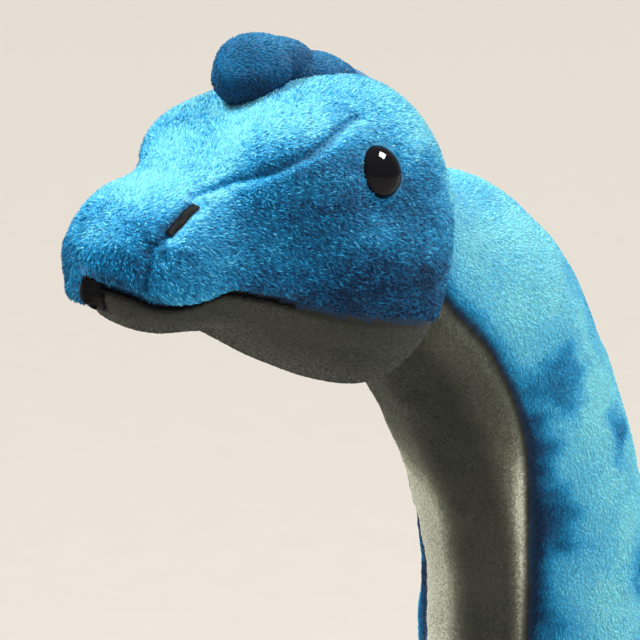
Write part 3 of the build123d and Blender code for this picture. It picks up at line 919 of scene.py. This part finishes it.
def navy_shade(points, normals):
    """How light the navy pile of the crest is, with painted light: lighter where it faces up."""
    # Painted light: the crest is lighter on top and darker at its bottom.
    return 0.50 + 0.34 * normals[:, 2] + 0.12 * cloud(points, 6)


def strip_distance(points):
    """Distance from the nearest seam of neck, torso and tail."""
    _, belly = spine_place(points)
    return np.minimum(np.abs(strip_offset(points)), np.where(belly < 0, np.abs(points[:, 0]), FAR))


def skull_shade(points, normals):
    """How light the cloth of the head is, with the painted light and shade of its pile."""
    own = points - SKULL
    seam = ridge(mouth_height(own) - own[:, 2], 0.7)
    value = np.where(is_jaw(points), jaw_shade(points, normals), head_shade(points, normals))
    return value - 0.7 * seam


def spine_shade(points, normals):
    """How light the cloth of neck, torso and tail is, with the painted shade of its pile."""
    seam = ridge(strip_offset(points), 0.7)
    value = np.where(is_strip(points), strip_shade(points, normals), body_shade(points, normals))
    return value - 0.7 * seam


def leg_shade(points, normals):
    """How light the pile of the legs is."""
    return 0.84 - 0.40 * ease(cloud(points, 16), 0.35, 1.0) + 0.035 * cloud(points, 6)


set_tone(head_skin, skull_shade)
set_tone(crest_skin, navy_shade)
for piece in (neck_skin, chest_skin, rump_skin):
    set_tone(piece, spine_shade)
for piece in leg_skins.values():
    set_tone(piece, leg_shade)

piles = {
    "head_pile": grow(
        "head_pile", skull, "head", lambda p: ~is_jaw(p) & clear_places(p), head_nap, head_shade, BLUES,
        [neck_skin, crest_skin], head_seams,
    ),
    "jaw_pile": grow(
        "jaw_pile", skull, "jaw", lambda p: is_jaw(p) & clear_places(p), head_nap, jaw_shade, GREYS,
        [neck_skin], head_seams,
    ),
}
for name, lobe in (("crest_pile", lobes[1]), ("crest_front_pile", lobes[0]), ("crest_back_pile", lobes[2])):
    piles[name] = grow(
        name, lobe, "crest", lambda p: p[:, 2] > 0, head_nap, navy_shade, NAVIES, [head_skin]
    )
leg_solids = list(leg_skins.values())
for stretch, grid, blue_kind, grey_kind, solids in (
    ("neck", upper_neck, "neck", "strip", [head_skin]),
    ("chest", chest, "body", "belly", leg_solids),
    ("rump", rump, "body", "belly", leg_solids),
):
    piles[f"{stretch}_pile"] = grow(
        f"{stretch}_pile", grid, blue_kind, lambda p: ~is_strip(p), spine_nap, body_shade, BLUES, solids,
        strip_distance, 2.4,
    )
    piles[f"{stretch}_strip_pile"] = grow(
        f"{stretch}_strip_pile", grid, grey_kind, is_strip, spine_nap, strip_shade, GREYS, solids,
        strip_distance, 2.4,
    )
for name, grid in legs.items():
    hip_x = joint_place(f"{name}_swing")[0]
    piles[f"{name}_pile"] = grow(
        f"{name}_pile", grid, "body", lambda p: p[:, 2] > FOOT_SEAM_Z, leg_nap,
        leg_shade, BLUES, [chest_skin, rump_skin],
        lambda p: np.minimum(np.abs(p[:, 0] - hip_x), p[:, 2] - FOOT_SEAM_Z), 2.4,
    )


# ---- embroidery
def thread_strands(name, paths, radius, material):
    """Threads as thin closed tubes, each along its own few points, with tapered ends."""
    angle = whole_turn(6)
    tubes = []
    for path in paths:
        run = unit(np.gradient(path, axis=0))
        side = unit(np.cross(run, (0.31, 0.17, 0.93)))
        up = np.cross(side, run)
        taper = 0.35 + 0.65 * np.sin(np.linspace(0.12, math.pi - 0.12, len(path))) ** 0.4
        ring = np.cos(angle)[:, None] * side[:, None] + np.sin(angle)[:, None] * up[:, None]
        tubes.append(path[:, None] + radius * taper[:, None, None] * ring)
    return skin(name, tubes, [material], constant(0))


head_tree = tree_of(head_skin)


def onto_head(points, height):
    """Points of the head's frame moved to a height above its skin."""
    moved = []
    for point in points:
        place, normal, _, _ = head_tree.find_nearest(metres(point + SKULL))
        outward = 1 if normal.dot(place - metres(SKULL)) > 0 else -1
        moved.append(np.array(place) / MM + outward * height * np.array(normal))
    return np.array(moved)


def satin(line, half_widths, pitch, height, lean=0.35):
    """Strands laid side by side across a line on the head."""
    steps = np.linalg.norm(np.diff(line, axis=0), axis=1)
    distance = np.concatenate([[0], np.cumsum(steps)])
    places = np.arange(0, distance[-1], pitch)
    middle = np.stack([np.interp(places, distance, line[:, k]) for k in range(3)], -1)
    wide = np.interp(places / distance[-1], np.linspace(0, 1, len(half_widths)), half_widths)
    run = unit(np.gradient(middle, axis=0))
    paths = []
    for centre, along, reach_out in zip(middle, run, wide):
        place = onto_head([centre], 0)[0] - SKULL
        normal = unit(onto_head([centre], 1)[0] - SKULL - place)
        across = unit(np.cross(normal, along) + lean * along)
        swing = np.linspace(-1, 1, 7)
        spread = centre + swing[:, None] * reach_out * across * rng.uniform(0.9, 1.08)
        risen = onto_head(spread, height)
        risen += (0.35 * (1 - swing**2))[:, None] * normal
        paths.append(risen)
    return paths


def mouth_line(side):
    """The mouth seam at one side of the head, from the front back, found on the head's own grid."""
    found = []
    for ring in skull - SKULL:
        above = ring[:, 2] - mouth_height(ring)
        for k in np.where((above[:-1] < 0) != (above[1:] < 0))[0]:
            share = above[k] / (above[k] - above[k + 1])
            point = ring[k] + share * (ring[k + 1] - ring[k])
            if side * point[0] > 2.0 and point[1] < MOUTH_END_Y:
                found.append(point)
    line = np.array(found)
    line[1:-1] = (line[:-2] + line[1:-1] + line[2:]) / 3
    return line


def front_patch():
    """Strands of the heavy black patch at the very front of the mouth, one below the other: stitches, with
    painted shadow of the gap between snout and jaw.
    """
    shares = np.linspace(0, 1, 28)[:, None]
    middle = MOUTH_FRONT[0] + shares * (MOUTH_FRONT[1] - MOUTH_FRONT[0])
    reach_out = (0.7 + 1.4 * np.sin(math.pi * shares) ** 0.6) * rng.uniform(0.92, 1.08, shares.shape)
    swing = np.linspace(-1, 1, 9)
    x, z = middle[:, :1] + reach_out * swing, middle[:, 2:] + 0.12 * swing
    strands = np.stack([x, 0 * x, z], -1)
    for point in strands.reshape(-1, 3):
        ahead = metres(point + SKULL + (0, -90, 0))
        place, _, _, _ = head_tree.ray_cast(ahead, Vector((0, 1, 0)))
        point[1] = place[1] / MM - SKULL[1]
    skin_y = strands[..., 1]
    smooth = skin_y.copy()
    for _ in range(6):
        framed = np.pad(smooth, 1, mode="edge")
        smooth = (framed[:-2, 1:-1] + framed[2:, 1:-1] + framed[1:-1, :-2] + framed[1:-1, 2:]) / 4
    strands[..., 1] = np.minimum(skin_y, smooth) - 0.7 + 0.5 * swing**2
    return list(strands + SKULL)


mouth_paths = []
for side in (1, -1):
    half_widths = (0.45, 0.50, 0.48, 0.42, 0.36, 0.28, 0.12)
    mouth_paths += satin(mouth_line(side), half_widths, 0.34, 0.55, lean=0.5)
mouth_paths += front_patch()
mouth = thread_strands("mouth_embroidery_and_painted_shadow", mouth_paths, 0.32, thread_and_shadow_black)

for side, name in ((1, "left"), (-1, "right")):
    paths = satin(NOSTRIL_LINE * (side, 1, 1), (0.05, 0.25, 0.36, 0.30, 0.05), 0.30, 0.20, lean=0.1)
    nostril = thread_strands(f"nostril_embroidery_{name}", paths, 0.20, thread_and_shadow_black)
    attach(nostril, "head")
    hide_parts(f"nostril_stitches_{name}")


# ---- eyes
def eye_grid(side, rings=28, turns=56):
    """A domed oval eye, seated in its socket and facing the way its shank does."""
    aim = unit(np.array([side * 0.905, -0.13, 0.405]))
    upward = unit(np.array([0, 0, 1.0]) - aim[2] * aim)
    sideways = np.cross(upward, aim)
    seat = SKULL + EYE * (side, 1, 1) - 0.9 * aim
    polar = np.linspace(0.02, 1.92, rings)
    angle = whole_turn(turns)
    out = 4.6 * np.cos(polar)
    flat = np.sin(polar) ** 0.94
    grid = seat + (out[:, None, None] + 0 * angle[:, None]) * aim
    grid = grid + 5.5 * (flat[:, None] * np.cos(angle))[..., None] * sideways
    return grid + 6.2 * (flat[:, None] * np.sin(angle))[..., None] * upward


for side, name in ((1, "left"), (-1, "right")):
    eye = skin(f"eye_dome_{name}", [eye_grid(side)], [eye_gloss], constant(0))
    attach(eye, "head")
    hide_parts(f"eye_{name}")

# ---- label and closing seam
# The label's ribbon runs down, round a fold at the bottom and up again.
LABEL_ROWS, LABEL_COLUMNS = 25, 13
label_low, label_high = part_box("blank_label")
hang = np.linspace(0, 1, LABEL_ROWS)[:, None]
above_fold = np.abs(hang * 2 - 1)
half_gap = 0.45 * np.sqrt(np.clip(1 - (1 - np.minimum(above_fold * 6, 1)) ** 2, 0, 1))
across = np.linspace(-6.4, 6.4, LABEL_COLUMNS)
label_x = label_low.x / MM + np.where(hang < 0.5, -half_gap, half_gap) + 0.8 * (1 - above_fold) ** 2
label_x = label_x + 0.15 * np.sin(across)
label_y = (label_low.y + label_high.y) / 2 / MM + across + 0 * hang
label_z = label_low.z / MM + 1 + above_fold * 15.5 + 0 * across
label_points = np.stack([label_x, label_y, label_z], -1)
i, j = np.meshgrid(np.arange(LABEL_ROWS - 1), np.arange(LABEL_COLUMNS - 1), indexing="ij")
corner = i * LABEL_COLUMNS + j
label_quads = np.stack([corner + k for k in (0, 1, LABEL_COLUMNS + 1, LABEL_COLUMNS)], -1).reshape(-1, 4)
label = new_mesh(
    "sewn_label", label_points.reshape(-1, 3), label_quads.ravel(), np.arange(len(label_quads)) * 4,
    [label_cloth], np.zeros(len(label_quads), int),
)
thick = label.modifiers.new("thickness", "SOLIDIFY")
thick.thickness = 0.0002
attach(label, "torso")
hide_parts("blank_label")

seam_low, seam_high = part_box("closing_stitches")
chest_tree, rump_tree = tree_of(chest_skin), tree_of(rump_skin)
ladder = []
for y in np.arange(seam_low.y / MM + 0.5, seam_high.y / MM, 3.4):
    path = []
    for step in np.linspace(-1, 1, 6):
        below = Vector(((15 + 2.1 * step) * MM, (y + 0.8 * step) * MM, 0))
        tree = chest_tree if y < 0 else rump_tree
        place, _, _, _ = tree.ray_cast(below, Vector((0, 0, 1)))
        path.append(np.array(place) / MM + (0, 0, -1.3 + 0.5 * abs(step)))
    ladder.append(np.array(path))
closing = thread_strands("closing_seam", ladder, 0.4, thread_blue)
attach(closing, "torso")
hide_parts("closing_stitches")


def pile_of(*names):
    """The pieces of some piles."""
    return [piece for name in names for piece in piles[f"{name}_pile"]]


for piece in (head_skin, neck_skin, *pile_of("head", "jaw", "neck", "neck_strip")):
    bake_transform(piece)
for piece in (chest_skin, *pile_of("chest", "chest_strip")):
    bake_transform(piece)
for piece in (rump_skin, *pile_of("rump", "rump_strip")):
    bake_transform(piece)
for name in LEGS:
    for piece in (leg_skins[name], *pile_of(name)):
        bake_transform(piece)
for piece in (crest_skin, *pile_of("crest", "crest_front", "crest_back"), mouth):
    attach(piece, "head")

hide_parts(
    "head_filling", "head_top_gusset", "head_side_panel_left", "head_side_panel_right",
    "lower_jaw_panel",
)
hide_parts("crest_panel", "crest_filling")
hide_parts("mouth_stitches")
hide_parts("neck_filling", "neck_side_panel_left", "neck_side_panel_right", "neck_front_strip")
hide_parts("torso_filling", "torso_side_panel_left", "torso_side_panel_right", "belly_panel")
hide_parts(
    "tail_filling", "tail_side_panel_left", "tail_side_panel_right", "tail_underside_panel"
)
for name in LEGS:
    parts = ("filling", "outer_panel", "inner_panel", "sole")
    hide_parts(*(f"{name}_{part}" for part in parts))

for name, node in frame["nodes"].items():
    if not node.hide_render:
        material = washer_plastic if name.startswith("eye_washer") else pouch_cloth
        node.data.materials.clear()
        node.data.materials.append(material)

# ---- floor, light and camera
FLOOR_TONE = (0.605, 0.556, 0.488)
bpy.ops.mesh.primitive_circle_add(vertices=128, radius=30, fill_type="NGON", location=(0, 0, 0))
floor = bpy.context.object
floor.name = "studio_floor"
darker = tuple(0.985 * c for c in FLOOR_TONE)
paper = principled("studio_paper", FLOOR_TONE, 0.9)
floor.data.materials.append(add_noise(paper, darker, FLOOR_TONE, 30, 0.0001))

# The world lights the toy softly, and is seen directly as the same pale paper as the floor.
world = bpy.data.worlds.new("studio")
bpy.context.scene.world = world
world.use_nodes = True
world_nodes, world_links = world.node_tree.nodes, world.node_tree.links
sky = world_nodes["Background"]
sky.inputs["Color"].default_value = (0.93, 0.95, 1.0, 1)
sky.inputs["Strength"].default_value = 0.30
backdrop = world_nodes.new("ShaderNodeBackground")
backdrop.inputs["Color"].default_value = (0.86, 0.80, 0.715, 1)
seen = world_nodes.new("ShaderNodeLightPath")
either = world_nodes.new("ShaderNodeMixShader")
world_links.new(seen.outputs["Is Camera Ray"], either.inputs["Fac"])
world_links.new(sky.outputs["Background"], either.inputs[1])
world_links.new(backdrop.outputs["Background"], either.inputs[2])
world_links.new(either.outputs["Shader"], world_nodes["World Output"].inputs["Surface"])


def lamp(name, kind, direction, energy, **settings):
    """A lamp that shines from a direction, at 0.9 m from the head where its distance matters."""
    data = bpy.data.lights.new(name, kind)
    data.energy = energy
    for setting, value in settings.items():
        setattr(data, setting, value)
    found = bpy.data.objects.new(name, data)
    found.location = metres(SKULL) + 0.9 * Vector(direction).normalized()
    found.rotation_mode = "QUATERNION"
    found.rotation_quaternion = Vector(direction).to_track_quat("Z", "Y")
    return add_to_scene(found)


# The photo's view: back points from the head to the camera.
AZIMUTH, ELEVATION = math.radians(45), math.radians(10)
level = math.cos(ELEVATION)
back = Vector((math.sin(AZIMUTH) * level, -math.cos(AZIMUTH) * level, math.sin(ELEVATION)))
right = Vector((math.cos(AZIMUTH), math.sin(AZIMUTH), 0))
up = back.cross(right)

key = lamp("key", "SUN", 0.74 * up - 0.48 * right + 0.38 * back, 3.7, angle=math.radians(16))
fill = lamp("fill", "SUN", 0.30 * up + 0.80 * right + 0.30 * back, 1.1, angle=math.radians(40))
overhead = lamp(
    "overhead_softbox", "AREA", (0.68, 0.16, 0.86), 2.6, shape="RECTANGLE", size=0.20, size_y=0.15
)
catchlight = lamp(
    "eye_catchlight", "AREA", (0.352, 0.357, 0.865), 26, shape="RECTANGLE", size=0.36, size_y=0.30
)
for light in (key, fill, overhead):
    light.visible_glossy = False
for light in (overhead, catchlight):
    light.visible_camera = False
catchlight.visible_diffuse = False

DISTANCE = 0.55  # from the camera to the head, in metres
FRAME_WIDTH = 0.1480  # of the view at that distance, in metres
SENSOR = 36
camera_data = bpy.data.cameras.new("camera")
camera_data.sensor_width = SENSOR
camera_data.lens = SENSOR * DISTANCE / FRAME_WIDTH
camera_data.clip_start = 0.01
camera = bpy.data.objects.new("camera", camera_data)
aim = metres(SKULL) + 0.0052 * right - 0.0262 * up
camera.location = aim + back * DISTANCE
camera.rotation_mode = "QUATERNION"
camera.rotation_quaternion = back.to_track_quat("Z", "Y")
bpy.context.scene.camera = add_to_scene(camera)

view = bpy.context.scene.view_settings
view.view_transform = "Standard"
view.look = "None"
